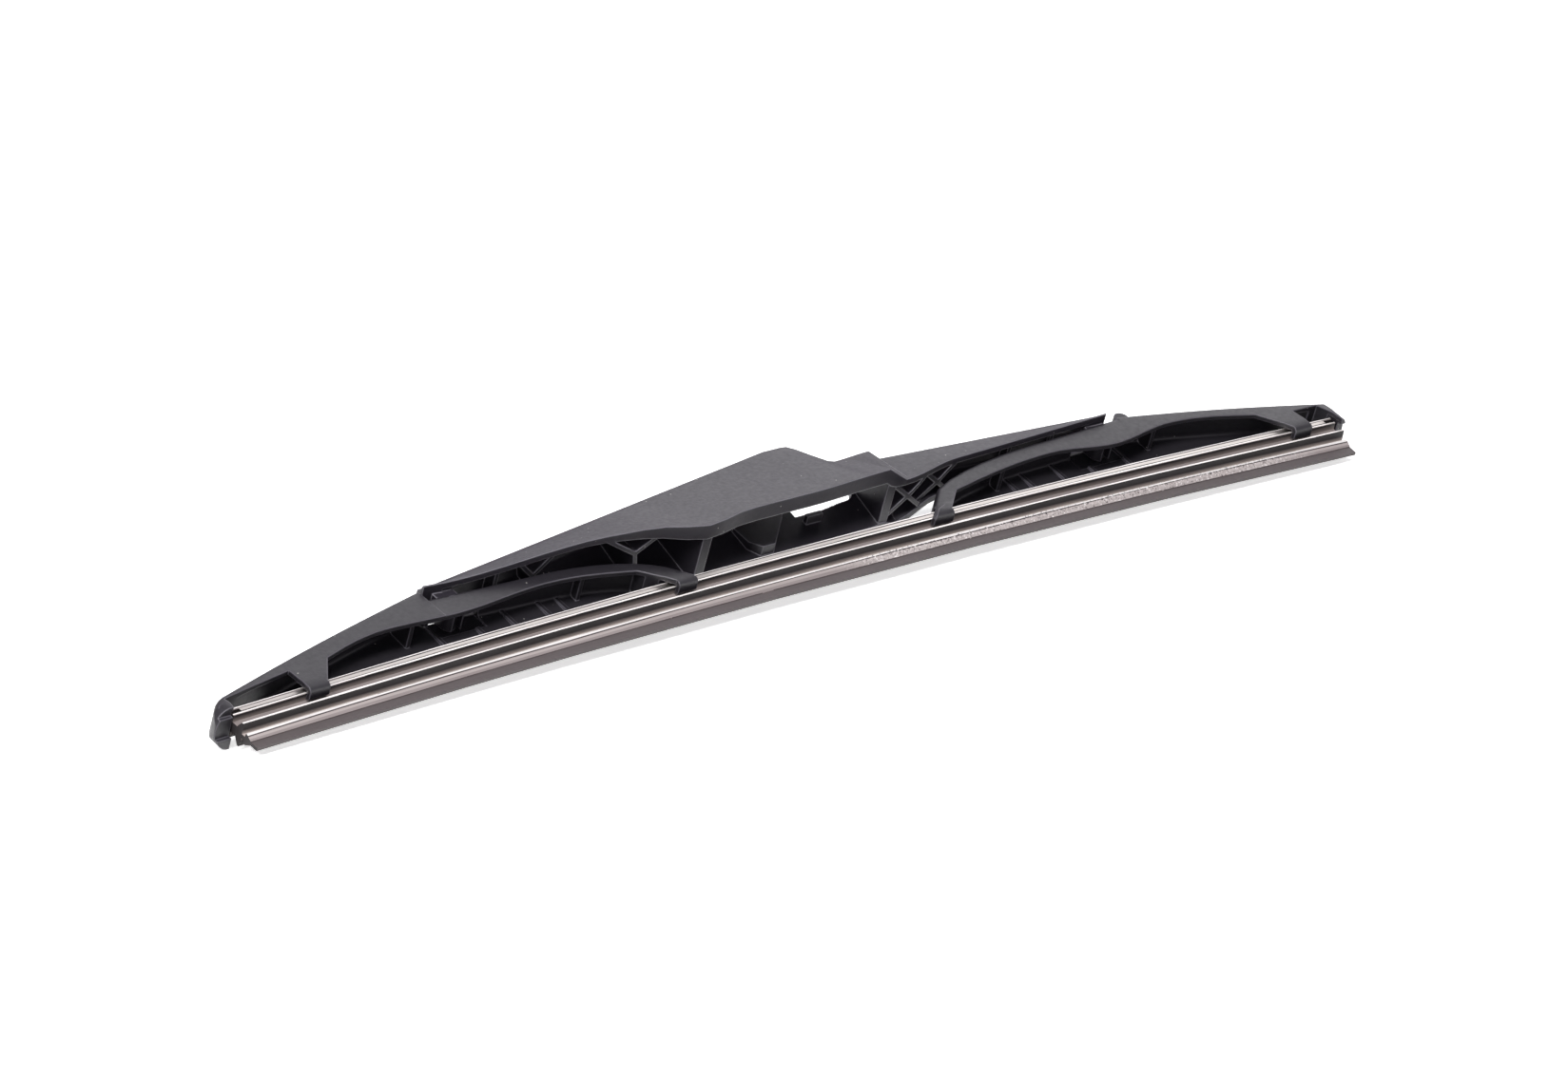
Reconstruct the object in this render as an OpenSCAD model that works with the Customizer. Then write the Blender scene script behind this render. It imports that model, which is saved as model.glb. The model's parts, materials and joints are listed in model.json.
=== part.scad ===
// Rear-window wiper blade of the bridge type, lying on its far side.
// Every module is drawn upright first (X along the blade, lip edge down, lever up)
// and then laid down by the same transform.

/* [Rubber element] */
// Length of the rubber element
rubber_len = 300; // [280:2:330]
// Rise of the arch between the rubber's ends and its middle
arch_rise = 3.4; // [2:0.2:5]
// Height of the lip, from its wiping edge to the flank
lip_h = 2.1; // [1.6:0.1:2.4]
// Thickness of the lip
lip_t = 0.7; // [0.6:0.1:1]
// Half width of the shoulder above the lip
shoulder_half = 1.32; // [1.2:0.04:1.5]
// Height of the shoulder above the lip's edge
shoulder_z = 3.85; // [3.6:0.05:4]
// Half width of the middle flange and of the head
head_half = 2.75; // [2.6:0.05:2.9]
// Height of the middle flange's edge
flange_z = 5.2; // [5:0.1:5.4]
// Underside of the head, where the claws hold it
head_z = 8.2; // [8:0.1:8.4]
// Height of the head
head_h = 2.2; // [2:0.1:2.4]

/* [Rails] */
// Thickness of the steel rails
rail_t = 0.8; // [0.6:0.1:1]
// Width of the steel rails
rail_w = 1.8; // [1.5:0.1:2]
// Distance from the rubber's end to the rail's end
rail_inset = 2.4; // [1:0.2:6]
// Play of a rail in its slot
rail_play = 0.04; // [0.02:0.01:0.08]

/* [Claws] */
// Half width of the yokes over their side walls
yoke_half = 4.5; // [4.3:0.1:4.8]
// Wall of the yokes
yoke_wall = 1.3; // [1.1:0.1:1.4]
// Play between a claw and the head it holds
claw_play = 0.2; // [0.15:0.05:0.3]
// Thickness of a claw's hook
hook_t = 1.05; // [0.9:0.05:1.1]
// Half width of the gap between two hooks
hook_gap = 1.6; // [1.5:0.05:1.8]

/* [Hinges] */
// Diameter of the hinge pins moulded in the yokes
pin_d = 2.6; // [2.4:0.1:2.8]
// Running play around a pin
pin_play = 0.08; // [0.04:0.01:0.1]
// Wall of the snap that holds the pin
snap_wall = 1.2; // [1.1:0.1:1.4]
// Distance of the left hinge from the middle
left_hinge = 84; // [82:0.5:85]
// Distance of the right hinge from the middle
right_hinge = 94.5; // [92.5:0.5:95.5]

/* [Primary lever] */
// Half width of the lever at its bottom rim, at the centre
lever_half = 9.2; // [8.8:0.1:9.6]
// Half width of the lever's arms at their ends
arm_half = 5; // [4.8:0.1:5.2]
// Half width of the lever's top
top_half = 3.6; // [3.4:0.1:3.8]
// Height of the crest over the lip's edge
crest_z = 41.2; // [38:0.2:43]
// Height of the ledge beside the crest
ledge_z = 32.8; // [32:0.2:34]
// Width of the rim around the opening at the centre
rim_w = 3.7; // [3.2:0.1:4]
// Wall of the lever's arms
arm_wall = 1.5; // [1.3:0.1:1.6]
// Thickness of the lever's roof
roof_t = 1.8; // [1.6:0.1:2]

/* [Hidden] */
$fn = 48;

far = 400;
half_len = rubber_len / 2;
arch_r = (half_len * half_len + arch_rise * arch_rise) / (2 * arch_rise);
arch_half_angle = asin(half_len / arch_r);
arch_fn = 3600;

// Heights in the rubber's section, from the lip's wiping edge up
flange_t = 0.4;
neck_half = 0.45;
claw_neck_half = 1.15;
head_flange = (head_h - rail_t) / 2 - rail_play;
slot_z = head_z + head_flange;
slot_h = rail_t + 2 * rail_play;
slot_floor = head_half - rail_w;
head_top = head_z + head_h;

// The yokes: distances from the middle, which follow the rubber's length, and heights
// over the lip's edge
stretch = half_len / 150;
function spread(list) = [for (p = list) [p[0] * stretch, p[1]]];
end_play = 0.8;
plate_u = half_len + end_play;
leg_inner = 1.9;

// Corners of the arms' lower edge: inner claw, first crown, hinge, second crown, outer claw
left_low = spread([[41, 14.3], [62, 17.7], [87, 15.6], [104, 16.4], [122, 12.6]]);
right_low = spread([[46, 13.6], [77, 17.5], [93.5, 14.9], [111, 17.2], [132.7, 12.6]]);
// The inner arm's back is a quarter of an ellipse, cut by the claw's straight leg:
// centre, half axes and the leg's slope
left_back = [63 * stretch, 8.7, 32.4 * stretch, 13, 3];
right_back = [80 * stretch, 8, 45.6 * stretch, 14.4, 0.95];
// Outer claw: outer edge, inner edge at the hook, inner edge at the arm
left_claw = [half_len - 17.9, half_len - 23, half_len - 28.5];
right_claw = [half_len - 7.8, half_len - 12.6, half_len - 17.3];
// Inner claw: inner edge, outer edge at the hook, outer edge at the arm
left_inner = [30.6 * stretch, 30.6 * stretch + 5, 41 * stretch];
right_inner = [34.6 * stretch, 34.6 * stretch + 5.2, 46 * stretch];
// Shoulder beside the lever's tip: distance and height
left_shoulder = [left_hinge * stretch + 5.9, 25.6];
right_shoulder = [right_hinge * stretch + 6.1, 23.9];
// End of a yoke: height of its back, thickness of the end plate and rounding of its top
left_end = [8.9, 3.9, 5.4];
right_end = [11.2, 1.9, 1.2];

left_yoke_data = [left_low, left_back, left_claw, left_inner, left_shoulder, left_end,
    left_hinge * stretch];
right_yoke_data = [right_low, right_back, right_claw, right_inner, right_shoulder, right_end,
    right_hinge * stretch];

hinge_z = 20.2;
pocket_len = 12.5;
tray_z = 19.2;
rib_t = 1;
near_face = 6.5;
post_t = 0.7;
back_bulge = 0.65;
roof_yoke = 1.5;
window_drop = 3.4;
far_gap = 0.5;
yoke_waist = 10;
inner_half = yoke_half - yoke_wall;

// The lever: ends of its arms and places along it
left_tip = -left_hinge * stretch - 5.1;
right_tip = right_hinge * stretch + 3;
step_x = 37;
crest_x = 19.4;
ledge_x = 27.2;
rim_z = 18.25;
belly_x = -21.2;
belly_h = 2.35;
tip_top_z = 26.3;
arm_top_z = 30.2;
left_slope = (crest_z - tip_top_z) / (14 - left_tip);
opening_x0 = -19.4;
opening_x1 = 31.5;
slot_x = 14;
slot_low = rim_z + 8.5;
cross_wall = 2.4;
// Where the rim starts to narrow towards the right arm
rim_x = 30.5;

// The blade lies on the lever's far rim and on the yokes' far end legs
hook_z = head_z - claw_play - hook_t;
leg_z = hook_z - arch_rise;
claw_low = leg_z - 1;
belly_z = rim_edge(belly_x);
lie_angle = atan2(lever_half - yoke_half, belly_z - leg_z);
lie_drop = lever_half * cos(lie_angle) - belly_z * sin(lie_angle);
lie_shift = -18.13;
lie_x = (left_end[1] - right_end[1]) / 2;

function clamp01(t) = min(1, max(0, t));
function ease(t) = let(c = clamp01(t)) c * c * (3 - 2 * c);
function arch(u) = -arch_rise * pow(u / half_len, 2);

// Height of a yoke's lower edge at distance u, through its five corners
function low_edge(c, u) =
    u < c[1][0] ? c[0][1] + (c[1][1] - c[0][1]) * sin(90 * clamp01((u - c[0][0]) / (c[1][0] - c[0][0]))) :
    u < c[2][0] ? c[1][1] + (c[2][1] - c[1][1]) * ease((u - c[1][0]) / (c[2][0] - c[1][0])) :
    u < c[3][0] ? c[2][1] + (c[3][1] - c[2][1]) * ease((u - c[2][0]) / (c[3][0] - c[2][0])) :
    c[4][1] + (c[3][1] - c[4][1]) * cos(90 * clamp01((u - c[3][0]) / (c[4][0] - c[3][0])));

function end_of(d) = plate_u + d[5][1];

// Height of a yoke's back at distance u
function back_edge(d, u) =
    let(b = d[1], s = d[4], end_u = end_of(d), r = d[5][2])
    u < b[0] ? b[1] + min(b[3] * sqrt(max(0, 1 - pow((b[0] - u) / b[2], 2))), b[4] * (u - b[0] + b[2])) :
    u < s[0] ? b[1] + b[3] + 0.9 * (u - b[0]) / (s[0] - b[0]) :
    let(t = (u - s[0]) / (end_u - s[0]), c = clamp01((u - end_u) / r + 1))
    s[1] + (d[5][0] - s[1]) * t + back_bulge * sin(180 * t) - r * (1 - sqrt(1 - c * c));

// Bottom rim of the lever: it falls to a belly beside the opening and rises to the tips
function rim_edge(x) =
    x > step_x - 1 ? rim_z + 1.2 + 2.1 * ease((x - step_x) / 16) + 0.034 * (x - step_x) :
    let(belly = belly_h * ease(1 - abs(x - belly_x) / 13))
    (x < -20 ? rim_z + 0.4 + 0.086 * (-20 - x) : rim_z + 0.4 * (1 - ease((x + 20) / 12)) +
        0.9 * ease((x - 8) / 24)) - belly;
function rim_half(x, is_far = false) =
    x > rim_x ? lever_half + (arm_half - lever_half) * clamp01((x - rim_x) / (is_far ? 16 : 6)) :
    arm_half + (lever_half - arm_half) * ease((x - left_tip - 2.9) / 42);
function top_edge(x) =
    x > step_x + 0.2 ? arm_top_z - 0.07 * (x - step_x) :
    x > crest_x ? crest_z + (ledge_z - crest_z) * ease((x - crest_x) / (ledge_x - crest_x)) +
        0.5 * ease((x - ledge_x) / (step_x - ledge_x)) :
    x > 14 ? crest_z :
    tip_top_z + left_slope * (x - left_tip);
function wall_at(x) = arm_wall + (rim_w - arm_wall) * ease((x + 50) / 32) * ease((step_x - x) / 5);

// A closed skin through rings of points
module skin(rings) {
    n = len(rings[0]);
    m = len(rings);
    sides = [for (k = [0:m - 2], i = [0:n - 1])
        let(a = k * n + i, b = k * n + (i + 1) % n)
        each [[a, b + n, b], [a, a + n, b + n]]];
    ends = [[for (i = [0:n - 1]) i], [for (i = [n - 1:-1:0]) (m - 1) * n + i]];
    polyhedron(points = [for (r = rings) each r], faces = concat(sides, ends));
}

// Ring across the blade: upright up to the waist, then narrower to a rounded top.
// The far side may reach out further, by half_far.
function ring(x, bottom, waist, top, half_bottom, half_top, r, half_far = 0) =
    let(rr = min(r, (top - bottom) / 2.2), low_waist = min(waist, top - rr - 0.1),
        far_side = max(half_bottom, half_far))
    concat(
        [[x, far_side, bottom], [x, far_side, low_waist]],
        [for (a = [0:30:90]) [x, half_top - rr + rr * cos(a), top - rr + rr * sin(a)]],
        [for (a = [90:30:180]) [x, -half_top + rr + rr * cos(a), top - rr + rr * sin(a)]],
        [[x, -half_bottom, low_waist], [x, -half_bottom, bottom]]);

// Stations along the blade: even steps, closer where the shape turns fast
function stations(a, b, step) = [for (i = [0:ceil((b - a) / step - 0.01)]) min(b, a + i * step)];
function lever_stations() = concat(
    stations(left_tip, 8, 4.85), stations(12, 14, 2), stations(16, 30, 1.4), [rim_x],
    stations(32, step_x, 1.5), [step_x + 0.25], stations(39, 53, 2), stations(57, right_tip, 4.3));

module place() {
    translate([lie_x, lie_shift, lie_drop]) rotate([lie_angle - 90, 0, 0]) children();
}

// Puts the lip's edge of a child, drawn at the middle, at distance u along the arch
module on_arch(u) {
    a = asin(u / arch_r);
    translate([0, 0, -arch_r]) rotate([0, a, 0]) translate([0, 0, arch_r]) children();
}

// A section drawn in the YZ plane, swept along the arch between two distances
module along_arch(half_angle) {
    translate([0, 0, -arch_r]) rotate([90, 0, 0]) rotate([0, 0, 90 - half_angle])
        rotate_extrude(angle = 2 * half_angle, $fn = arch_fn) translate([arch_r, 0]) children();
}

function mirror_y(p) = concat(p, [for (i = [len(p) - 1:-1:0]) [p[i][0], -p[i][1]]]);

// Half of the rubber's section, as height and half width, from the lip up to the head
function rubber_half() = [
    [0, lip_t / 2],
    [lip_h, lip_t / 2],
    [lip_h + 0.05, lip_t / 2 + 0.15],
    [shoulder_z - 0.35, shoulder_half - 0.04],
    [shoulder_z - 0.08, shoulder_half],
    [shoulder_z, shoulder_half - 0.1],
    [shoulder_z + 0.15, neck_half],
    [flange_z - 0.3, neck_half],
    [flange_z - 0.1, head_half - 0.15],
    [flange_z, head_half],
    [flange_z + flange_t, head_half],
    [flange_z + flange_t + 1.1, claw_neck_half],
    [head_z - 0.05, claw_neck_half],
    [head_z, head_half - 0.1],
    [head_z + 0.1, head_half],
    [slot_z - 0.08, head_half],
    [slot_z, head_half - 0.08],
    [slot_z, slot_floor],
    [slot_z + slot_h, slot_floor],
    [slot_z + slot_h, head_half - 0.08],
    [slot_z + slot_h + 0.08, head_half],
    [head_top - 0.15, head_half],
    [head_top, head_half - 0.15]
];

module rubber_element() {
    color("#4a443f") place() along_arch(arch_half_angle) polygon(mirror_y(rubber_half()));
}

module rail(side) {
    angle = asin((half_len - rail_inset) / arch_r);
    z0 = slot_z + rail_play;
    y0 = slot_floor + rail_play;
    place() along_arch(angle) polygon([
        [z0, side * y0],
        [z0, side * head_half],
        [z0 + rail_t, side * head_half],
        [z0 + rail_t, side * y0]
    ]);
}

module rail_near() {
    color("silver") rail(-1);
}

module rail_far() {
    color("silver") rail(1);
}

// What is cut away around the rubber's head to leave a pair of claws, as half width and height
function claw_cut() = [
    [inner_half + 0.15, head_top + 0.5],
    [inner_half + 0.15, head_z - claw_play],
    [hook_gap, head_z - claw_play],
    [hook_gap, hook_z + 0.3],
    [hook_gap + 0.3, hook_z],
    [yoke_half - 0.8, hook_z],
    [yoke_half - 0.3, hook_z + 0.35],
    [yoke_half + 0.3, hook_z + 1.25],
    [yoke_half + 1, hook_z + 1.25],
    [yoke_half + 1, -30]
];

// Cuts a pair of claws between two distances, square to the arch at u
module claw_room(u, from, to) {
    on_arch(u) rotate([90, 0, 90]) translate([0, 0, from - u]) linear_extrude(to - from)
        polygon(concat(claw_cut(),
            [for (i = [len(claw_cut()) - 1:-1:0]) [-claw_cut()[i][0], claw_cut()[i][1]]]));
}

// Side outline of a yoke, open upwards: claw legs, the arms' lower edge, the window beside
// the end and the end leg. The far wall reaches down beside the rubber's head.
module yoke_outline(d, is_near) {
    low = d[0];
    claw = d[2];
    inner = d[3];
    end_u = end_of(d);
    polygon(concat(
        [[inner[0] - 5, claw_low], [inner[1], claw_low], [inner[1], head_z + arch(inner[1])]],
        is_near ?
            [for (u = stations(inner[2], low[4][0], 3)) [u, low_edge(low, u)]] :
            [for (u = stations(inner[1] + 1.5, claw[1] - 1.5, 12)) [u, head_top + far_gap + arch(u)]],
        [
            [claw[1], head_z + arch(claw[1])],
            [claw[1], claw_low],
            [claw[0], claw_low],
            [claw[0], back_edge(d, claw[0]) - window_drop],
            [plate_u - 1, back_edge(d, plate_u - 2) - roof_yoke],
            [plate_u, leg_z],
            [end_u + 1, leg_z],
            [end_u + 1, 60],
            [inner[0] - 5, 60]
        ]));
}

// Plan of a yoke, with a rounded end
module yoke_plan(end_u) {
    round_u = end_u - plate_u;
    polygon(concat(
        [[0, -yoke_half]],
        [for (a = [-90:10:90]) [end_u - round_u * (1 - cos(a)), yoke_half * sin(a)]],
        [[0, yoke_half]]
    ));
}

// Solid of a yoke before it is hollowed, with its back rounded
module yoke_body(d) {
    b = d[1];
    s = d[4];
    inner = d[3];
    end_u = end_of(d);
    r = d[5][2];
    us = concat(
        [for (a = [0:9:90]) b[0] - b[2] * cos(a) + (a == 0 ? 0.05 : 0)],
        stations(b[0] + 4, s[0] - 0.1, 4.4),
        stations(s[0], end_u - r - 1, 5),
        [for (a = [0:15:90]) end_u - r * (1 - sin(a))]);
    skin([for (u = us)
        ring(u, -6, yoke_waist + arch(u), max(back_edge(d, u), leg_z + 1), yoke_half, yoke_half - 0.8, 1.3)]);
}

// Room inside a yoke, under its roof and between its walls
module yoke_room(d) {
    b = d[1];
    s = d[4];
    first = d[3][1] + 4.2;
    us = concat(
        [first],
        [for (a = [30:12:90]) if (b[0] - b[2] * cos(a) > first + 1.5) b[0] - b[2] * cos(a)],
        stations(b[0] + 5, s[0] - 0.1, 5),
        stations(s[0] + 1.5, plate_u - 3, 6));
    skin([for (u = us)
        ring(u, head_top + 0.1 + arch(u), yoke_waist + 2.4 + arch(u), back_edge(d, u) - roof_yoke,
            inner_half, inner_half - 0.4, 0.8)]);
}

module yoke(d, near_leg) {
    s = d[4];
    claw = d[2];
    inner = d[3];
    hinge = d[6];
    difference() {
        intersection() {
            yoke_body(d);
            translate([0, 0, -far / 2]) linear_extrude(far) yoke_plan(end_of(d));
            union() {
                rotate([90, 0, 0]) linear_extrude(far) yoke_outline(d, true);
                translate([0, far, 0]) rotate([90, 0, 0]) linear_extrude(far) yoke_outline(d, false);
            }
        }
        difference() {
            yoke_room(d);
            // A rib across each arm, and posts on the far wall beside the hinge
            for (u = [-32, 12.5])
                translate([hinge + u, -far / 2, low_edge(d[0], hinge + u) + 0.8])
                    cube([rib_t, far, far]);
            for (u = [-27.8, -23.1, -14, -5.5, 4.6])
                translate([hinge + u, inner_half - post_t, -far]) cube([rib_t, far, 2 * far]);
        }
        // Pocket in the roof for the lever's snap
        translate([s[0] - 1 - pocket_len, -inner_half, hinge_z - 3]) cube([pocket_len, 2 * inner_half, 12]);
        // Room for the rubber's head and the rails, between the claws' hooks and past them
        claw_room(inner[0] + 2.6, inner[0] - 8, inner[1] + 3);
        claw_room(claw[1] + 2.4, claw[1] - 3, claw[0] + 1.5);
        translate([claw[0] + 1, -inner_half - 0.25, -far])
            cube([plate_u - claw[0] - 1, 2 * inner_half + 0.5, far + head_top + 0.4 - arch_rise]);
        // The wall on the side without an end leg
        if (!near_leg)
            translate([plate_u - 1, -far, -far]) cube([far, far - 2.6, far + head_z - arch_rise + 0.4]);
        // Arch in the end plate, around the rubber's end
        on_arch(half_len) rotate([90, 0, 90]) translate([-inner_half + 0.2, -10, -4])
            cube([inner_half - 0.2 + leg_inner, 10 + head_z - 0.3, 12]);
    }
    // Half-round lip beside the lever's tip
    if (near_leg)
        translate([s[0] + 1.3, 0, s[1] - 0.9]) rotate([90, 0, 0])
            cylinder(r = 1.7, h = 2 * yoke_half - 2, center = true);
    // Hinge pin
    translate([hinge, 0, hinge_z]) rotate([90, 0, 0]) cylinder(d = pin_d, h = 2 * inner_half + 1, center = true);
}

module left_yoke() {
    color("#3b3b3d") place() mirror([1, 0, 0]) yoke(left_yoke_data, false);
}

module right_yoke() {
    color("#3b3b3d") place() yoke(right_yoke_data, true);
}

// Outer solid of the lever
module lever_body() {
    skin([for (x = lever_stations())
        ring(x, rim_edge(x), rim_edge(x) + 0.3, top_edge(x), rim_half(x), top_half, 1.2,
            rim_half(x, true))]);
}

// Room under the lever's roof
module lever_room() {
    xs = [for (x = lever_stations()) if (x > left_tip + 1.4 && x < right_tip - 1.4) x];
    skin([for (x = xs)
        let(w = wall_at(x))
        ring(x, rim_edge(x) - 4, rim_edge(x) + 0.35, top_edge(x) - roof_t, rim_half(x) - w,
            top_half - arm_wall + 0.2, 0.8, rim_half(x, true) - w)]);
}

// Diagonal ribs between the arm's walls, crossing at x
module cross_rib(x, len, width, depth) {
    for (a = [-1, 1])
        translate([x, 0, 0]) rotate([0, 0, a * atan2(width, len)])
            translate([-len - 1, -0.5, rim_edge(x) + depth]) cube([2 * len + 2, 1, 30]);
}

// A wall of a brace between two points, from the rim up
module strut(a, b, z) {
    d = b - a;
    translate([a[0], a[1], z]) rotate([0, 0, atan2(d[1], d[0])])
        translate([-0.5, -rib_t / 2, 0]) cube([norm(d) + 1, rib_t, far]);
}

// Trough of the tray, shrunk by d, from y towards the far wall
module tray(d, y) {
    translate([0, y + far, 0]) rotate([90, 0, 0]) linear_extrude(far) polygon([
        [-3.2 + d, 60],
        [-3.2 + d, tray_z + 2.6],
        [-1.2 + d / 2, tray_z + d],
        [2.2 - d / 2, tray_z + d],
        [10.9 - 1.4 * d, tray_z + 8.4],
        [10.9 - 1.4 * d, 60]
    ]);
}

// Three walls that meet at a point, like a Y, its arms half apart at the near wall's face
module brace(x, y, half, depth) {
    z = rim_edge(x) + depth;
    strut([x - 2 * half, -2 * near_face - y], [x, y], z);
    strut([x + 2 * half, -2 * near_face - y], [x, y], z);
    strut([x, y], [x + 4, 12], z);
}

module primary_lever() {
    color("#3b3b3d") place() {
        difference() {
            lever_body();
            difference() {
                lever_room();
                for (x = [opening_x0 - cross_wall, opening_x1])
                    translate([x, -far / 2, rim_edge(x) + 0.3]) cube([cross_wall, far, far]);
                cross_rib(38.5, 5, 4, 0.1);
                cross_rib(48.5, 5, 4, 0.1);
                brace(-36.6, -3, 5.8, 0.3);
                brace(-60.5, -1, 5.8, 1.7);
                // Plates across the arms
                for (x = [0.79 * left_tip, 0.72 * right_tip, 0.85 * right_tip])
                    translate([x, -far / 2, rim_edge(x) + 1.4]) cube([rib_t, far, far]);
                // Tray for the arm's clip, and a lug above it
                difference() {
                    tray(0, 3);
                    tray(rib_t, -far);
                }
                translate([15, 2.6, tray_z + 4.9]) cube([4.2, far, 1.1]);
            }
            // Opening for the arm, in the roof and down the far wall
            translate([0, far - top_half + arm_wall, 0]) rotate([90, 0, 0]) linear_extrude(far)
                polygon(concat(
                    [[slot_x, 60], [slot_x, slot_low]],
                    [for (a = [0:15:90]) [opening_x1 - 4 + 4 * sin(a), slot_low + 4 - 4 * cos(a)]],
                    [[opening_x1, 60]]));
        }
        // Snaps around the yokes' pins
        hinge_snap(-left_hinge * stretch);
        hinge_snap(right_hinge * stretch);
    }
}

// Leg that comes down into the yoke and closes round its pin
module hinge_snap(x) {
    bore = pin_d + 2 * pin_play;
    outer = bore + 2 * snap_wall;
    half = inner_half - 0.45;
    difference() {
        union() {
            translate([x, 0, hinge_z]) rotate([90, 0, 0]) cylinder(d = outer, h = 2 * half, center = true);
            translate([x - outer / 2, -half, hinge_z]) cube([outer, 2 * half, top_edge(x) - 1 - hinge_z]);
        }
        translate([x, 0, hinge_z]) rotate([90, 0, 0]) cylinder(d = bore, h = far, center = true);
        translate([x - 0.42 * pin_d, -far / 2, hinge_z - far]) cube([0.84 * pin_d, far, far]);
    }
}

primary_lever();
left_yoke();
right_yoke();
rubber_element();
rail_near();
rail_far();
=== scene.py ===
import json
import math

import bmesh
import bpy
from mathutils import Matrix, Vector


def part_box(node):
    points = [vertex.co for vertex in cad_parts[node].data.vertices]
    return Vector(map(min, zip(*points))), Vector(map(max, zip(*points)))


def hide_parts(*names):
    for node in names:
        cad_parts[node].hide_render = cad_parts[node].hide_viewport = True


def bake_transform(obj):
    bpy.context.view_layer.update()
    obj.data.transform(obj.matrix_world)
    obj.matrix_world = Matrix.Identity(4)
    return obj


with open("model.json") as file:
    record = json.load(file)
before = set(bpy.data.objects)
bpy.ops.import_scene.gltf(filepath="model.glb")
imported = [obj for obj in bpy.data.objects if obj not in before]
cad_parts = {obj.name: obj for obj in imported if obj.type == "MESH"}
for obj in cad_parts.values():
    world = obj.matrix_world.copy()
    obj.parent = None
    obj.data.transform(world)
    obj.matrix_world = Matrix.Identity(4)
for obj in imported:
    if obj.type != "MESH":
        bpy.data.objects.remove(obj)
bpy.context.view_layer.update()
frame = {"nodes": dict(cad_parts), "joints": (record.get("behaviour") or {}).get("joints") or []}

mm = 0.001

# The blade lies tilted: its own up and sideways directions come from the yokes' hinge axis
sideways = Vector(frame["joints"][0]["axis"]).normalized()
along = Vector((1, 0, 0))
bladeUp = along.cross(sideways)
# The lip's middle lies straight under the line of the hinges, this far from it
hingeHeight = 20.2
hinge = Vector(frame["joints"][0]["pos_m"])
rubberLow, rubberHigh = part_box("rubber_element")
underHinge = bladeUp * hingeHeight * mm
lipMiddle = Vector(((rubberLow[0] + rubberHigh[0]) / 2, hinge.y, hinge.z)) - underHinge


def linearColour(hexCode, alpha=1.0):
    parts = [int(hexCode[i:i + 2], 16) / 255 for i in (1, 3, 5)]
    return [c / 12.92 if c < 0.04045 else ((c + 0.055) / 1.055) ** 2.4 for c in parts] + [alpha]


def addNode(tree, kind, settings, inputs):
    node = tree.nodes.new(kind)
    for name, value in settings.items():
        setattr(node, name, value)
    for name, value in inputs.items():
        socket = node.inputs[name]
        if isinstance(value, bpy.types.NodeSocket):
            tree.links.new(value, socket)
        else:
            socket.default_value = value
    return node


def startMaterial(name):
    material = bpy.data.materials.new(name)
    material.use_nodes = True
    tree = material.node_tree
    tree.nodes.clear()
    return material, tree


def endMaterial(tree, shader):
    addNode(tree, "ShaderNodeOutputMaterial", {}, {"Surface": shader})


# Object coordinates turned so that X runs along the blade and Z from lip to crest, in metres
def bladeCoordinates(tree, stretch=(1, 1, 1)):
    coords = addNode(tree, "ShaderNodeTexCoord", {}, {})
    turned = addNode(tree, "ShaderNodeVectorRotate", {"rotation_type": "X_AXIS"},
                     {"Vector": coords.outputs["Object"],
                      "Angle": math.atan2(bladeUp.y, bladeUp.z)})
    return addNode(tree, "ShaderNodeMapping", {},
                   {"Vector": turned.outputs[0], "Scale": stretch}).outputs[0]


plasticLook = {
    "dark": "#1b181e",
    "light": "#28252d",
    "roughness": 0.43,
    "ior": 1.54,
    "grain": 0.35,        # spark-eroded grain, drawn coarser than the real 0.1 mm so that it shows
    "pitDepth": 0.05,
    "pitStrength": 0.35,
    "mottle": 0.9,        # patches where the grain is finer or coarser
    "finer": 0.04,        # how much smoother and rougher those patches are
    "coarser": 0.05,
    "flow": 26,           # faint flow clouds of the moulding
    "dust": 3.2,          # distance between dust specks
    "speck": 0.06,        # radius of a speck as a share of that distance
    "dustColour": "#b9b6b2",
    "dustCover": 0.8,
    "round": 0.45,        # radius of the moulded edges
    "edgeHighlight": "#7c7981",  # painted highlight along the edges
    "edgeHighlightCover": 0.8,
    "bendStart": 0.997,   # cosine of the turn in an edge where the painted highlight starts
    "bendFull": 0.94,     # and where it is full
}


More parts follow.
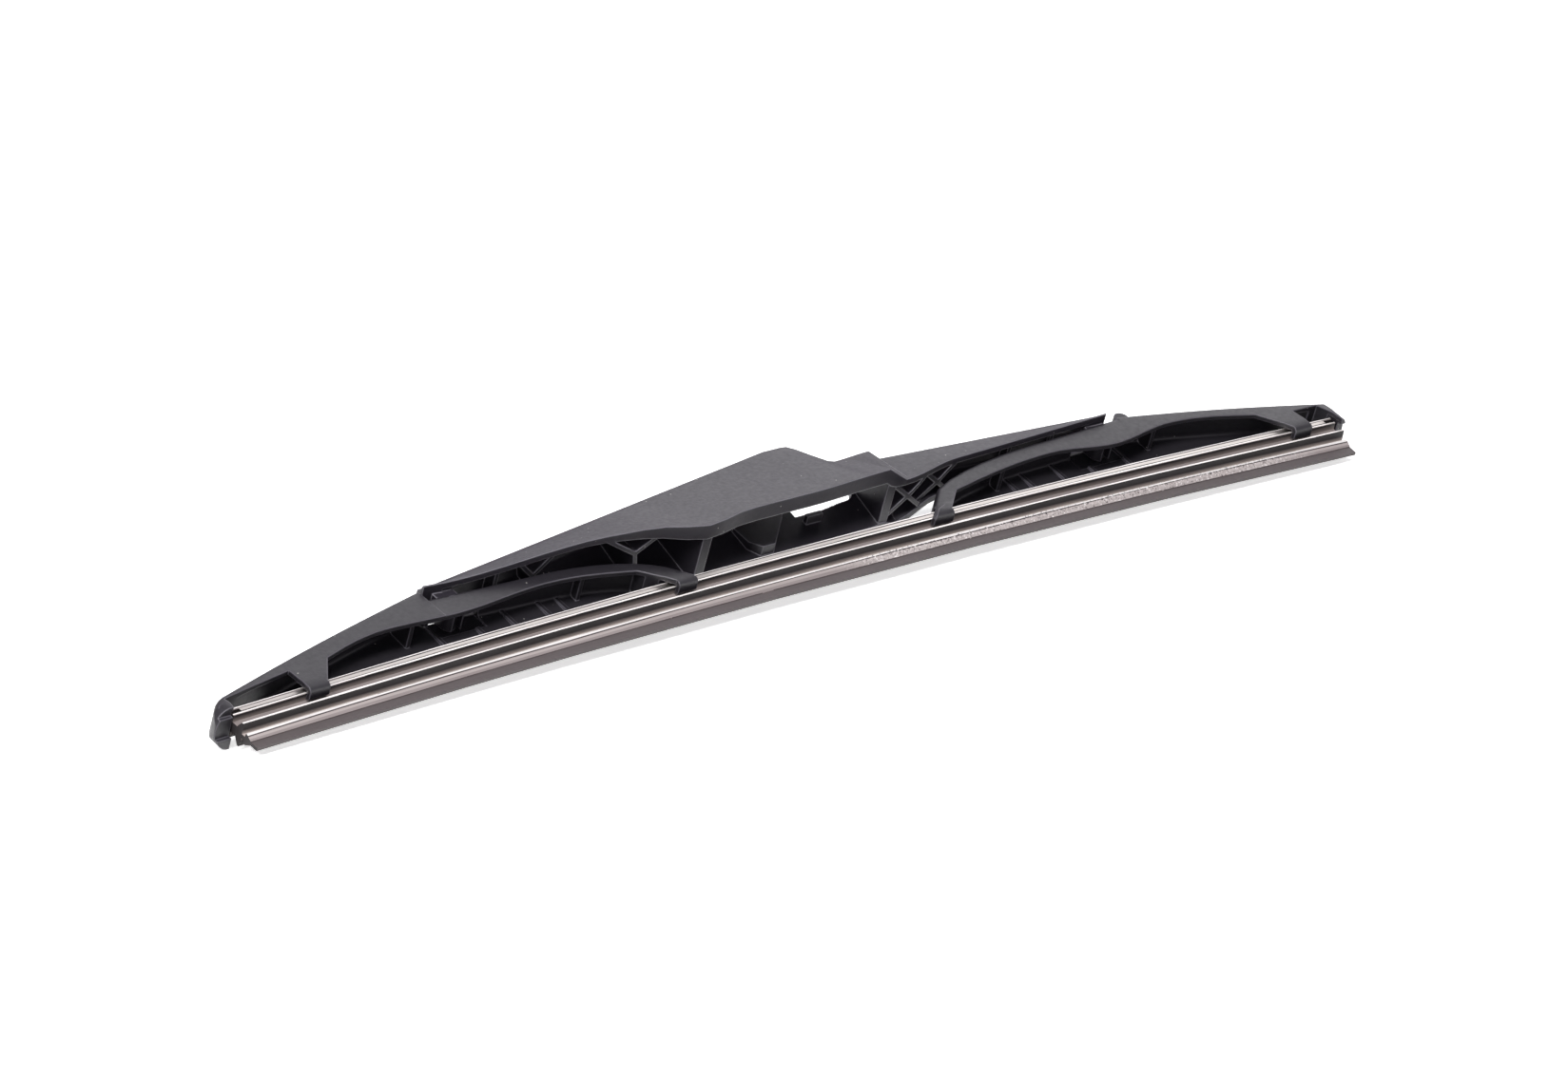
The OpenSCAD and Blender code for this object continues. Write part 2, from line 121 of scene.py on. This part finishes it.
def mouldedPlastic(name, look):
    # Black glass-filled PBT moulded in a spark-eroded tool: reads dark grey with a soft satin
    # sheen, with a painted highlight along the edges, and dotted with a little dust
    material, tree = startMaterial(name)
    place = bladeCoordinates(tree)
    flow = addNode(tree, "ShaderNodeTexNoise", {},
                   {"Vector": place, "Scale": 1 / (look["flow"] * mm), "Detail": 3})
    tone = addNode(tree, "ShaderNodeMix", {"data_type": "RGBA"},
                   {0: flow.outputs[0], 6: linearColour(look["dark"]), 7: linearColour(look["light"])})
    specks = addNode(tree, "ShaderNodeTexVoronoi", {},
                     {"Vector": place, "Scale": 1 / (look["dust"] * mm)})
    speckMask = addNode(tree, "ShaderNodeMapRange", {},
                        {0: specks.outputs["Distance"], 1: look["speck"] / 2, 2: look["speck"],
                         3: look["dustCover"], 4: 0.0})
    dusted = addNode(tree, "ShaderNodeMix", {"data_type": "RGBA"},
                     {0: speckMask.outputs[0], 6: tone.outputs[2],
                      7: linearColour(look["dustColour"])})
    rounded = addNode(tree, "ShaderNodeBevel", {"samples": 8}, {"Radius": look["round"] * mm})
    facing = addNode(tree, "ShaderNodeNewGeometry", {}, {})
    bend = addNode(tree, "ShaderNodeVectorMath", {"operation": "DOT_PRODUCT"},
                   {0: rounded.outputs[0], 1: facing.outputs["Normal"]})
    # Painted highlight along the edges, where the rounded normal turns away from the face's own
    edgeHighlight = addNode(tree, "ShaderNodeMapRange", {},
                     {0: bend.outputs["Value"], 1: look["bendStart"], 2: look["bendFull"],
                      3: 0.0, 4: look["edgeHighlightCover"]})
    # The painted edge highlight laid over the dusted tone
    worn = addNode(tree, "ShaderNodeMix", {"data_type": "RGBA"},
                   {0: edgeHighlight.outputs[0], 6: dusted.outputs[2], 7: linearColour(look["edgeHighlight"])})
    grain = addNode(tree, "ShaderNodeTexNoise", {},
                    {"Vector": place, "Scale": 1 / (look["grain"] * mm), "Detail": 2})
    bump = addNode(tree, "ShaderNodeBump", {},
                   {"Strength": look["pitStrength"], "Distance": look["pitDepth"] * mm,
                    "Height": grain.outputs[0], "Normal": rounded.outputs[0]})
    mottle = addNode(tree, "ShaderNodeTexNoise", {},
                     {"Vector": place, "Scale": 1 / (look["mottle"] * mm), "Detail": 2})
    sheen = addNode(tree, "ShaderNodeMapRange", {},
                    {0: mottle.outputs[0], 1: 0.3, 2: 0.7,
                     3: look["roughness"] - look["finer"], 4: look["roughness"] + look["coarser"]})
    shader = addNode(tree, "ShaderNodeBsdfPrincipled", {},
                     {"Base Color": worn.outputs[2], "Roughness": sheen.outputs[0],
                      "IOR": look["ior"], "Normal": bump.outputs[0]})
    endMaterial(tree, shader.outputs[0])
    return material


# Looks of the rubber by where it lies in the section: "graphite" is the share of metallic shine,
# "bands" are stripes between two heights over the lip's edge, such as the painted highlight of the
# shoulder line and the painted shade of the rails' slot, "inner" is a paler tone that fades out
# between two distances from the middle plane. The near-white "edge" is a painted highlight,
# and the near-black "groove" and "underHead" are painted shade
rubberLooks = {
    "lip": {"dark": "#463f3f", "light": "#574f4f", "roughness": 0.42, "graphite": 0.25},
    "flank": {"dark": "#857c7b", "light": "#a59b99", "roughness": 0.4, "graphite": 0.3, "scuffed": True,
              # The flank's bands: a paler stripe, then a dark line of painted shade and a bright line
              # of painted highlight along the shoulder
              "bands": [(2.6, 3.05, "#b3a9a6"), (3.05, 3.28, "#453f3f"), (3.28, 3.6, "#f3efec")]},
    # Near white: painted highlight on the sides of the head and the flange, with a band of painted
    # shade where the rails' slot lies
    "edge": {"dark": "#e4dedb", "light": "#fbf7f4", "roughness": 0.3, "graphite": 0.4,
             "bands": [(8.66, 9.94, "#2a2525")]},
    "neck": {"dark": "#857b7a", "light": "#a39997", "roughness": 0.45, "graphite": 0.3},
    "cut": {"dark": "#1f1b1c", "light": "#2d2829", "roughness": 0.6, "graphite": 0.0},
    # Near black: painted shade in the groove and under the head, paler near the middle plane where
    # "inner" eases it
    "groove": {"dark": "#161314", "light": "#241f20", "roughness": 0.6, "graphite": 0.0,
               "inner": ("#a69c98", 0.62, 1.35)},
    "underHead": {"dark": "#161314", "light": "#241f20", "roughness": 0.6, "graphite": 0.0,
                  "inner": ("#857b77", 1.3, 2.3)},
}
streaks = {"width": 0.35, "length": 14}
# The powder's grit, drawn coarser than the real hundredths of a millimetre so that it shows
grit = {"size": 0.25, "depth": 0.04, "strength": 0.12}
scuffs = {
    "from": 5, "fadeIn": 12, "to": 142, "fadeOut": 14,   # where they lie along the blade
    "top": 3.05, "worn": "#cdc4c1", "wornShare": 0.6,    # coating worn thin below that height
    "grain": 0.55,
    "flecks": [(0.56, 0.66, "#fbf7f5"), (0.44, 0.36, "#4c4545")],
}
# The extruded strip bows by "arch" over its half length; bands end over the width "soft"
section = {"arch": 3.4, "halfLength": 150, "soft": 0.05}


# Height over the lip's edge in millimetres, with the rubber's bow taken out
def overLip(point):
    offset = point - lipMiddle
    return offset.dot(bladeUp) / mm + section["arch"] * (offset.x / mm / section["halfLength"]) ** 2


# Distance from the middle plane in millimetres
def fromMiddle(point):
    return abs((point - lipMiddle).dot(sideways)) / mm


# Both are kept on the mesh, so that the looks bend with the rubber
sectionMeasures = {"overLip": overLip, "fromMiddle": fromMiddle}


def extrudedRubber(name, look):
    # Extruded rubber rubbed with graphite powder: brown-grey, fine streaks along it,
    # with painted highlight on the shoulder and the head's edges, painted shade in the grooves and
    # the rails' slot, flecked where the coating has worn
    material, tree = startMaterial(name)
    place = bladeCoordinates(tree)
    streak = addNode(tree, "ShaderNodeTexNoise", {},
                     {"Vector": bladeCoordinates(tree, (streaks["width"] / streaks["length"], 1, 1)),
                      "Scale": 1 / (streaks["width"] * mm), "Detail": 3})
    colour = addNode(tree, "ShaderNodeMix", {"data_type": "RGBA"},
                     {0: streak.outputs[0], 6: linearColour(look["dark"]),
                      7: linearColour(look["light"])}).outputs[2]
    height = addNode(tree, "ShaderNodeAttribute", {"attribute_name": "overLip"}, {}).outputs["Fac"]
    # Stripes of painted highlight and painted shade by height over the lip's edge
    for low, high, stripe in look.get("bands", []):
        above = addNode(tree, "ShaderNodeMapRange", {}, {0: height, 1: low - section["soft"], 2: low})
        below = addNode(tree, "ShaderNodeMapRange", {},
                        {0: height, 1: high + section["soft"], 2: high})
        share = addNode(tree, "ShaderNodeMath", {"operation": "MULTIPLY"},
                        {0: above.outputs[0], 1: below.outputs[0]})
        colour = addNode(tree, "ShaderNodeMix", {"data_type": "RGBA"},
                         {0: share.outputs[0], 6: colour, 7: linearColour(stripe)}).outputs[2]
    if "inner" in look:
        pale, whole, gone = look["inner"]
        middle = addNode(tree, "ShaderNodeAttribute", {"attribute_name": "fromMiddle"}, {})
        share = addNode(tree, "ShaderNodeMapRange", {}, {0: middle.outputs["Fac"], 1: gone, 2: whole})
        colour = addNode(tree, "ShaderNodeMix", {"data_type": "RGBA"},
                         {0: share.outputs[0], 6: colour, 7: linearColour(pale)}).outputs[2]
    if look.get("scuffed"):
        colour = scuffedColour(tree, place, height, colour)
    grain = addNode(tree, "ShaderNodeTexNoise", {},
                    {"Vector": place, "Scale": 1 / (grit["size"] * mm), "Detail": 2})
    bump = addNode(tree, "ShaderNodeBump", {},
                   {"Strength": grit["strength"], "Distance": grit["depth"] * mm,
                    "Height": grain.outputs[0]})
    shader = addNode(tree, "ShaderNodeBsdfPrincipled", {},
                     {"Base Color": colour, "Roughness": look["roughness"],
                      "Metallic": look["graphite"], "Normal": bump.outputs[0]})
    endMaterial(tree, shader.outputs[0])
    return material


# The flank's coating is worn thin over part of the length, with bright and dark flecks in it
def scuffedColour(tree, place, height, colour):
    parts = addNode(tree, "ShaderNodeSeparateXYZ", {}, {0: place})
    begins = addNode(tree, "ShaderNodeMapRange", {},
                     {0: parts.outputs[0], 1: scuffs["from"] * mm,
                      2: (scuffs["from"] + scuffs["fadeIn"]) * mm})
    ends = addNode(tree, "ShaderNodeMapRange", {},
                   {0: parts.outputs[0], 1: scuffs["to"] * mm,
                    2: (scuffs["to"] - scuffs["fadeOut"]) * mm})
    where = addNode(tree, "ShaderNodeMath", {"operation": "MULTIPLY"},
                    {0: begins.outputs[0], 1: ends.outputs[0]})
    low = addNode(tree, "ShaderNodeMapRange", {},
                  {0: height, 1: scuffs["top"], 2: scuffs["top"] - section["soft"],
                   4: scuffs["wornShare"]})
    worn = addNode(tree, "ShaderNodeMath", {"operation": "MULTIPLY"},
                   {0: low.outputs[0], 1: where.outputs[0]})
    colour = addNode(tree, "ShaderNodeMix", {"data_type": "RGBA"},
                     {0: worn.outputs[0], 6: colour, 7: linearColour(scuffs["worn"])}).outputs[2]
    flecks = addNode(tree, "ShaderNodeTexNoise", {},
                     {"Vector": place, "Scale": 1 / (scuffs["grain"] * mm), "Detail": 4,
                      "Roughness": 0.7})
    for start, full, fleck in scuffs["flecks"]:
        spots = addNode(tree, "ShaderNodeMapRange", {}, {0: flecks.outputs[0], 1: start, 2: full})
        share = addNode(tree, "ShaderNodeMath", {"operation": "MULTIPLY"},
                        {0: spots.outputs[0], 1: where.outputs[0]})
        colour = addNode(tree, "ShaderNodeMix", {"data_type": "RGBA"},
                         {0: share.outputs[0], 6: colour, 7: linearColour(fleck)}).outputs[2]
    return colour


steelLook = {
    "colour": "#c6c1bb",
    "line": 0.12,      # rolling lines, drawn coarser than the real ones so that they show
    "stretch": 0.01,   # they run on a hundred times as far along the strip
    "depth": 0.01,
    "strength": 0.1,
    "smooth": 0.24,
    "rough": 0.4,
}


def rolledSteel(name, look):
    # Rolled stainless spring strip: bright and nearly smooth, with fine lines along it
    material, tree = startMaterial(name)
    lines = addNode(tree, "ShaderNodeTexNoise", {},
                    {"Vector": bladeCoordinates(tree, (look["stretch"], 1, 1)),
                     "Scale": 1 / (look["line"] * mm), "Detail": 2})
    bump = addNode(tree, "ShaderNodeBump", {},
                   {"Strength": look["strength"], "Distance": look["depth"] * mm,
                    "Height": lines.outputs[0]})
    rough = addNode(tree, "ShaderNodeMapRange", {},
                    {0: lines.outputs[0], 3: look["smooth"], 4: look["rough"]})
    shader = addNode(tree, "ShaderNodeBsdfPrincipled", {},
                     {"Base Color": linearColour(look["colour"]), "Metallic": 1.0,
                      "Roughness": rough.outputs[0], "Normal": bump.outputs[0]})
    endMaterial(tree, shader.outputs[0])
    return material


leverPlastic = mouldedPlastic("mouldedPbtLever", plasticLook)
# The yokes: a darker tone and a dimmer painted edge highlight
yokePlastic = mouldedPlastic("mouldedPbtYoke", dict(plasticLook, dark="#161419", light="#222025",
                                                    edgeHighlight="#5c5961"))
graphiteRubber = {part: extrudedRubber("extrudedGraphiteRubber_" + part, look)
                  for part, look in rubberLooks.items()}
springSteel = rolledSteel("rolledSpringSteel", steelLook)
print("materials ready")


# The mouldings keep their solids; faces that meet at less than this angle are shaded as one
# curve, after points closer than "weld" are joined
creases = {"angle": 40, "weld": 0.002}


def smoothCurves():
    tree = bpy.data.node_groups.new("smoothCurves", "GeometryNodeTree")
    tree.interface.new_socket("Geometry", in_out="INPUT", socket_type="NodeSocketGeometry")
    tree.interface.new_socket("Geometry", in_out="OUTPUT", socket_type="NodeSocketGeometry")
    start = addNode(tree, "NodeGroupInput", {}, {})
    angle = addNode(tree, "GeometryNodeInputMeshEdgeAngle", {}, {})
    flat = addNode(tree, "FunctionNodeCompare", {"data_type": "FLOAT", "operation": "LESS_THAN"},
                   {0: angle.outputs[0], 1: math.radians(creases["angle"])})
    faces = addNode(tree, "GeometryNodeSetShadeSmooth", {"domain": "FACE"},
                    {0: start.outputs[0], 2: True})
    lines = addNode(tree, "GeometryNodeSetShadeSmooth", {"domain": "EDGE"},
                    {0: faces.outputs[0], 2: flat.outputs[0]})
    addNode(tree, "NodeGroupOutput", {}, {0: lines.outputs[0]})
    return tree


smoothing = smoothCurves()


def dressMoulding(node, material):
    solid = frame["nodes"][node]
    solid.data.materials.clear()
    solid.data.materials.append(material)
    weld = solid.modifiers.new("weld", "WELD")
    weld.merge_threshold = creases["weld"] * mm
    shade = solid.modifiers.new("smooth curves", "NODES")
    shade.node_group = smoothing
    normals = solid.modifiers.new("face weighted normals", "WEIGHTED_NORMAL")
    normals.keep_sharp = True


dressMoulding("primary_lever", leverPlastic)
for node in ("left_yoke", "right_yoke"):
    dressMoulding(node, yokePlastic)
print("lever and yokes dressed")


# The rubber and the rails are each cut in two at the middle
# and sliced every few millimetres
strip = {"slice": 3.0, "weld": 0.002, "flatWithin": 0.5, "still": 3}
# Where the parts of the rubber's section begin and end, over the lip's edge and from the middle,
# and how squarely a face has to look along, sideways or down to count as one of them
profile = {"lipTop": 2.12, "flankTop": 3.5, "neckFoot": 6.6, "neckHalf": 1.2,
           "facesAlong": 0.7, "facesOut": 0.8, "neckFacesOut": 0.6, "facesDown": 0.7}


# Which part of the section a face of the rubber belongs to, by its place and the way it faces
def partOfSection(face):
    height = overLip(face.center)
    sidewaysShare = abs(face.normal.dot(sideways))
    if abs(face.normal.x) > profile["facesAlong"]:
        return "cut"
    if height < profile["lipTop"]:
        return "lip"
    if height < profile["flankTop"]:
        return "flank"
    if fromMiddle(face.center) > profile["neckHalf"] and sidewaysShare > profile["facesOut"]:
        return "edge"
    if height > profile["neckFoot"] and sidewaysShare > profile["neckFacesOut"]:
        return "neck"
    if height > profile["neckFoot"] and face.normal.dot(bladeUp) < -profile["facesDown"]:
        return "underHead"
    return "groove"


def slicedStrip(node, side, materials):
    source = frame["nodes"][node]
    mesh = source.data.copy()
    work = bmesh.new()
    work.from_mesh(mesh)
    bmesh.ops.remove_doubles(work, verts=work.verts, dist=strip["weld"] * mm)
    bmesh.ops.dissolve_limit(work, angle_limit=math.radians(strip["flatWithin"]),
                             verts=work.verts, edges=work.edges)
    bmesh.ops.bisect_plane(work, geom=work.verts[:] + work.edges[:] + work.faces[:],
                           plane_co=(0, 0, 0), plane_no=(-side, 0, 0), clear_outer=True)
    bmesh.ops.holes_fill(work, edges=[e for e in work.edges if e.is_boundary])
    end = max(abs(v.co.x) for v in work.verts)
    cuts = int(end / (strip["slice"] * mm))
    for k in range(1, cuts):
        bmesh.ops.bisect_plane(work, geom=work.verts[:] + work.edges[:] + work.faces[:],
                               plane_co=(side * end * k / cuts, 0, 0), plane_no=(1, 0, 0))
    work.to_mesh(mesh)
    work.free()
    piece = bpy.data.objects.new(node + ("_right" if side > 0 else "_left"), mesh)
    bpy.context.scene.collection.objects.link(piece)
    mesh.materials.clear()
    for material in materials.values():
        mesh.materials.append(material)
    if len(materials) > 1:
        for face in mesh.polygons:
            face.material_index = list(materials).index(partOfSection(face))
    for measure, measured in sectionMeasures.items():
        kept = mesh.attributes.new(measure, "FLOAT", "POINT")
        kept.data.foreach_set("value", [measured(v.co) for v in mesh.vertices])
    mesh.shade_flat()
    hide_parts(node)
    return piece


# One half of each strip for each hinge, on that hinge's side of the middle
strips = {"rubber_element": graphiteRubber, "rail_near": {"strip": springSteel},
          "rail_far": {"strip": springSteel}}
for joint in frame["joints"]:
    side = 1 if joint["pos_m"][0] > 0 else -1
    for node, materials in strips.items():
        piece = slicedStrip(node, side, materials)
        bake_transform(piece)
print("rubber and rails sliced")


# White table; the camera and glossy reflections see it pure white, the object's shadow stays
table = {"size": 6.0, "bounce": "#6e6e72", "seen": "#ffffff", "glow": 0.62}


def layTable():
    bpy.ops.mesh.primitive_plane_add(size=table["size"])
    floor = bpy.context.object
    floor.name = "table"
    material, tree = startMaterial("whitePaperTable")
    rays = addNode(tree, "ShaderNodeLightPath", {}, {})
    seen = addNode(tree, "ShaderNodeMath", {"operation": "MAXIMUM"},
                   {0: rays.outputs["Is Camera Ray"], 1: rays.outputs["Is Glossy Ray"]})
    paper = addNode(tree, "ShaderNodeBsdfDiffuse", {}, {"Color": linearColour(table["bounce"])})
    bright = addNode(tree, "ShaderNodeBsdfDiffuse", {}, {"Color": linearColour(table["seen"])})
    glow = addNode(tree, "ShaderNodeEmission", {},
                   {"Color": linearColour(table["seen"]), "Strength": table["glow"]})
    lit = addNode(tree, "ShaderNodeAddShader", {}, {0: bright.outputs[0], 1: glow.outputs[0]})
    mixed = addNode(tree, "ShaderNodeMixShader", {},
                    {0: seen.outputs[0], 1: paper.outputs[0], 2: lit.outputs[0]})
    endMaterial(tree, mixed.outputs[0])
    floor.data.materials.append(material)


# White tent round the table: shiny surfaces see it brighter than matte ones are lit by it
room = {"tent": 0.66, "light": 0.14, "cloth": "#f3eef8", "seen": "#ffffff"}


def lightRoom():
    world = bpy.data.worlds.new("room")
    bpy.context.scene.world = world
    world.use_nodes = True
    tree = world.node_tree
    tree.nodes.clear()
    rays = addNode(tree, "ShaderNodeLightPath", {}, {})
    level = addNode(tree, "ShaderNodeMapRange", {},
                    {0: rays.outputs["Is Glossy Ray"], 3: room["light"], 4: room["tent"]})
    tent = addNode(tree, "ShaderNodeBackground", {},
                   {"Color": linearColour(room["cloth"]), "Strength": level.outputs[0]})
    white = addNode(tree, "ShaderNodeBackground", {},
                    {"Color": linearColour(room["seen"]), "Strength": 1.0})
    mixed = addNode(tree, "ShaderNodeMixShader", {},
                    {0: rays.outputs["Is Camera Ray"], 1: tent.outputs[0], 2: white.outputs[0]})
    addNode(tree, "ShaderNodeOutputWorld", {}, {"Surface": mixed.outputs[0]})


# Square lamps aimed at the middle of the table: place and size in metres, power in watts
softboxes = {
    "key": {"place": (-0.15, -0.55, 1.1), "size": 0.4, "power": 10.0},
    "left": {"place": (-0.9, -0.35, 0.72), "size": 0.4, "power": 9.0},
    "fill": {"place": (-0.7, -1.1, 0.3), "size": 0.5, "power": 3.5},
    "back": {"place": (0.75, 0.6, 0.65), "size": 0.7, "power": 2.0},
}


def hangSoftbox(name, box):
    lamp = bpy.data.lights.new(name, "AREA")
    lamp.shape = "SQUARE"
    lamp.size = box["size"]
    lamp.energy = box["power"]
    holder = bpy.data.objects.new(name, lamp)
    holder.location = box["place"]
    holder.rotation_euler = (-Vector(box["place"])).to_track_quat("-Z", "Y").to_euler()
    bpy.context.scene.collection.objects.link(holder)


layTable()
lightRoom()
for name, box in softboxes.items():
    hangSoftbox(name, box)
print("table and lamps placed")


# Camera fitted to the photograph: angles in degrees, lengths in millimetres, 1649 pixels across
shot = {"azimuth": -40.71, "elevation": 17.76, "distance": 1613.5, "right": 9.05, "up": -9.24,
        "focalPixels": 8206.04, "pixelsWide": 1649, "sensor": 36, "near": 50, "far": 20000}


def placeCamera():
    az, el = math.radians(shot["azimuth"]), math.radians(shot["elevation"])
    back = Vector((math.sin(az) * math.cos(el), -math.cos(az) * math.cos(el), math.sin(el)))
    right = (-back).cross(Vector((0, 0, 1))).normalized()
    up = right.cross(-back)
    eye = lipMiddle + (back * shot["distance"] - right * shot["right"] - up * shot["up"]) * mm
    camera = bpy.data.cameras.new("camera")
    camera.sensor_width = shot["sensor"]
    camera.lens = shot["focalPixels"] * camera.sensor_width / shot["pixelsWide"]
    camera.clip_start = shot["near"] * mm
    camera.clip_end = shot["far"] * mm
    holder = bpy.data.objects.new("camera", camera)
    bpy.context.scene.collection.objects.link(holder)
    axes = Matrix((right, up, back)).transposed().to_4x4()
    holder.matrix_world = Matrix.Translation(eye) @ axes
    bpy.context.scene.camera = holder


placeCamera()
bpy.context.scene.view_settings.view_transform = "Standard"
print("camera placed")
